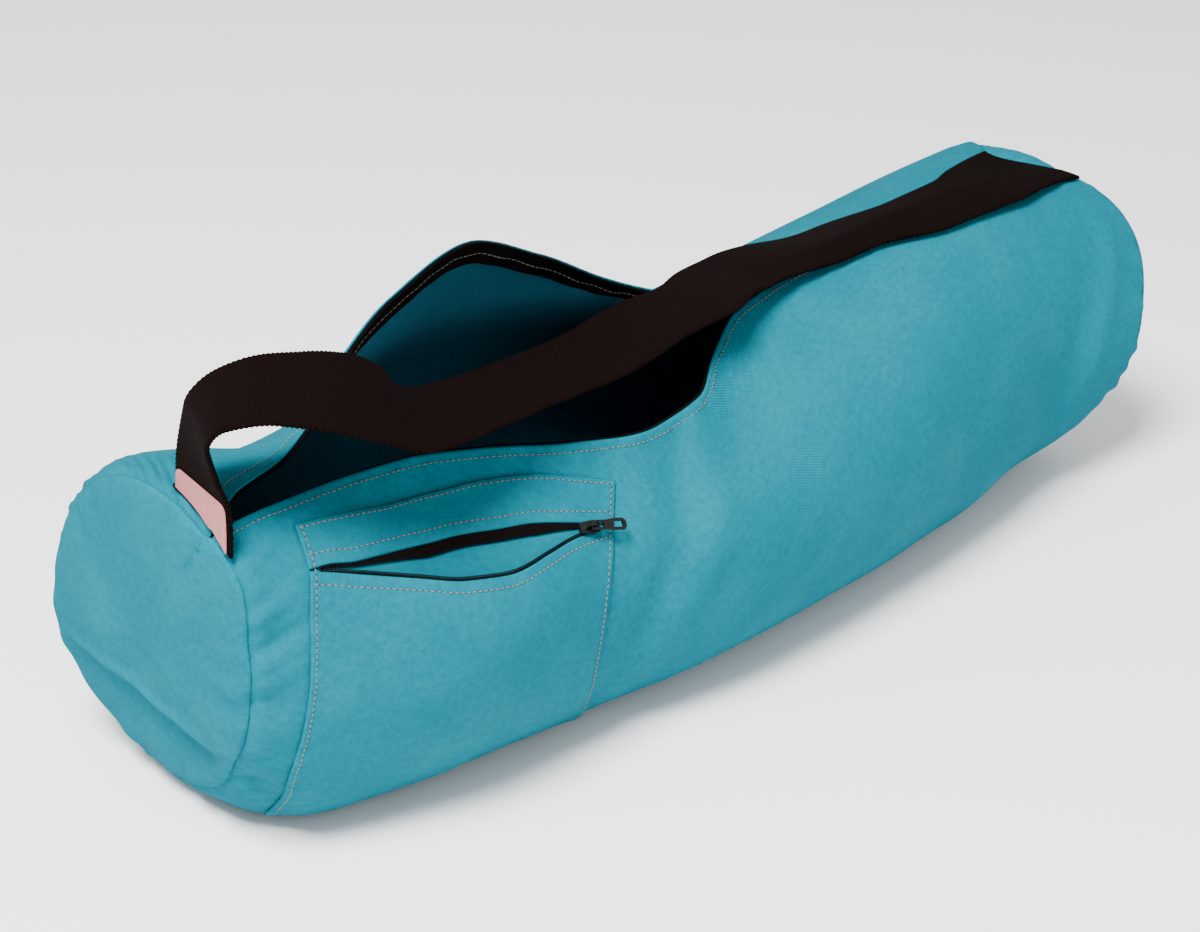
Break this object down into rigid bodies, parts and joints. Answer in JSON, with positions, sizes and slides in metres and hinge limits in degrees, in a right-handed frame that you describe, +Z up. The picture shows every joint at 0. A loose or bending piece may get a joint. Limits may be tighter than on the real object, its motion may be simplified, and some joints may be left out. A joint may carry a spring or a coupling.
{
  "type": "yoga mat bag",
  "caption": "Long tube-shaped canvas bag with a zip mouth along its top, a zip pocket by one end and a flat webbing strap from end to end; it lies with the mouth open.",
  "frame": {"origin": "middle of the flat underside it lies on", "axes": "+X from the end with the pocket to the other end, +Y away from the pocket, +Z up"},
  "size_m": [0.6604, 0.2264, 0.2508],
  "materials": {
    "canvas": "plain woven, matt",
    "webbing": "ribbed, matt",
    "zip_tape": "herringbone, matt",
    "zip_plastic": "satin",
    "satin": "satin woven"
  },
  "bodies": {
    "bag": {"tube_panel": "canvas", "near_end_panel": "canvas", "far_end_panel": "canvas", "main_zip_near_tape": "zip_tape", "main_zip_far_tape": "zip_tape", "main_zip_slider": "zip_plastic", "pocket_band": "canvas", "pocket_panel": "canvas", "pocket_zip_upper_tape": "zip_tape", "pocket_zip_lower_tape": "zip_tape", "pocket_slider": "zip_plastic", "strap": "webbing", "loop_label": "satin"},
    "pull": {"pocket_pull": "zip_plastic"}
  },
  "joints": [
    {"name": "pull_hinge", "type": "hinge", "parent": "bag", "child": "pull", "pos_m": [-0.14097, -0.09381, 0.13727], "axis": [-0.2929, -0.694, -0.6577], "range_deg": [0, 170]}
  ]
}
